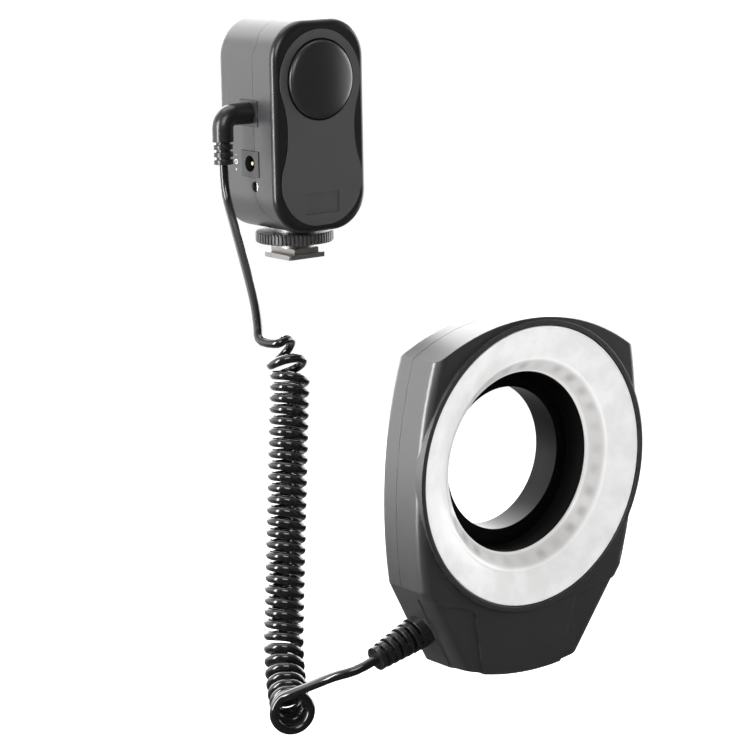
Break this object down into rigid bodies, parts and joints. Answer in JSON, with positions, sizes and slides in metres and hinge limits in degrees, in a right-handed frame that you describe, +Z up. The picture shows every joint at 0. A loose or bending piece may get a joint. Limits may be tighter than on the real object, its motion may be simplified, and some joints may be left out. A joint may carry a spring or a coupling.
{
  "type": "ring flash",
  "caption": "LED ring light head with a frosted diffuser, on a curly cord from a shoe-mounted battery control unit.",
  "frame": {"origin": "centre of the underside of the shoe foot, under the control unit", "axes": "+Z up, -Y forwards, the way the ring head and the control unit's front face, +X to the object's left, so the jacks and the cord are on -X"},
  "size_m": [0.1475, 0.1685, 0.2573],
  "materials": {
    "case_plastic": "fine satin moulded",
    "bezel_gloss": "polished",
    "panel_plastic": "satin",
    "shell_plastic": "soft satin",
    "jack_plastic": "moulded",
    "contact_metal": "plated",
    "pin_steel": "plain",
    "board": "coated",
    "tray_plastic": "moulded",
    "cell_wrap": "printed film",
    "spring_steel": "plated",
    "control_plastic": "satin",
    "button_rubber": "matt",
    "lamp_lens": "clear tinted",
    "foot_metal": "machined",
    "wheel_plastic": "knurled",
    "screw_steel": "blackened",
    "diffuser_frost": "frosted",
    "led_package": "moulded",
    "led_board_white": "solder mask",
    "sleeve_plastic": "matt",
    "adapter_metal": "black anodised",
    "relief_rubber": "satin",
    "cord_rubber": "satin",
    "plug_metal": "plated"
  },
  "bodies": {
    "unit": {"unit_front_shell": "case_plastic", "unit_rear_shell": "case_plastic", "rear_cover": "case_plastic", "front_bezel": "bezel_gloss", "front_panel": "panel_plastic", "dome_cap": "panel_plastic", "output_jack": "jack_plastic", "dc_jack": "jack_plastic", "dc_jack_pin": "contact_metal", "lanyard_pin": "pin_steel", "circuit_board": "board", "control_board": "board", "battery_tray": "tray_plastic", "batteries": "cell_wrap", "battery_contacts": "spring_steel", "battery_springs": "spring_steel", "indicator_lamp": "lamp_lens", "shoe_foot": "foot_metal", "unit_screws": "screw_steel", "head_front_shell": "shell_plastic", "head_rear_shell": "shell_plastic", "head_screws": "screw_steel", "diffuser": "diffuser_frost", "led_board": "led_board_white", "leds": "led_package", "inner_sleeve": "sleeve_plastic", "strain_relief": "relief_rubber", "plug_body": "relief_rubber", "plug_barrel": "plug_metal", "cord_upper": "cord_rubber", "cord_coil": "cord_rubber", "cord_lower": "cord_rubber"},
    "lock_wheel": {"lock_wheel": "wheel_plastic"},
    "contact_pin": {"contact_pin": "contact_metal"},
    "battery_door": {"battery_door": "case_plastic"},
    "power_switch": {"power_switch": "control_plastic"},
    "zone_switch": {"zone_switch": "control_plastic"},
    "test_button": {"test_button": "button_rubber"},
    "brightness_up_button": {"brightness_up_button": "button_rubber"},
    "brightness_down_button": {"brightness_down_button": "button_rubber"},
    "adapter_ring": {"adapter_ring": "adapter_metal"}
  },
  "joints": [
    {"name": "lock_wheel_turn", "type": "hinge", "parent": "unit", "child": "lock_wheel", "pos_m": [0, 0, 0.0087], "axis": [0, 0, 1], "range_deg": [-504, 792]},
    {"name": "contact_press", "type": "slide", "parent": "unit", "child": "contact_pin", "axis": [0, 0, 1], "range_m": [0, 0.0005], "stiffness_N_per_m": 600, "springref_m": -0.001},
    {"name": "battery_door_slide", "type": "slide", "parent": "unit", "child": "battery_door", "axis": [0, 0, -1], "range_m": [0, 0.007]},
    {"name": "power_slide", "type": "slide", "parent": "unit", "child": "power_switch", "axis": [1, 0, 0], "range_m": [0, 0.004]},
    {"name": "zone_slide", "type": "slide", "parent": "unit", "child": "zone_switch", "axis": [1, 0, 0], "range_m": [-0.002, 0.002]},
    {"name": "test_press", "type": "slide", "parent": "unit", "child": "test_button", "axis": [0, -1, 0], "range_m": [0, 0.0005], "stiffness_N_per_m": 900, "springref_m": -0.0006},
    {"name": "brightness_up_press", "type": "slide", "parent": "unit", "child": "brightness_up_button", "axis": [0, -1, 0], "range_m": [0, 0.0005], "stiffness_N_per_m": 900, "springref_m": -0.0006},
    {"name": "brightness_down_press", "type": "slide", "parent": "unit", "child": "brightness_down_button", "axis": [0, -1, 0], "range_m": [0, 0.0005], "stiffness_N_per_m": 900, "springref_m": -0.0006},
    {"name": "adapter_turn", "type": "hinge", "parent": "unit", "child": "adapter_ring", "pos_m": [0, -0.1236, -0.0624], "axis": [0, 1, 0], "continuous": true}
  ]
}
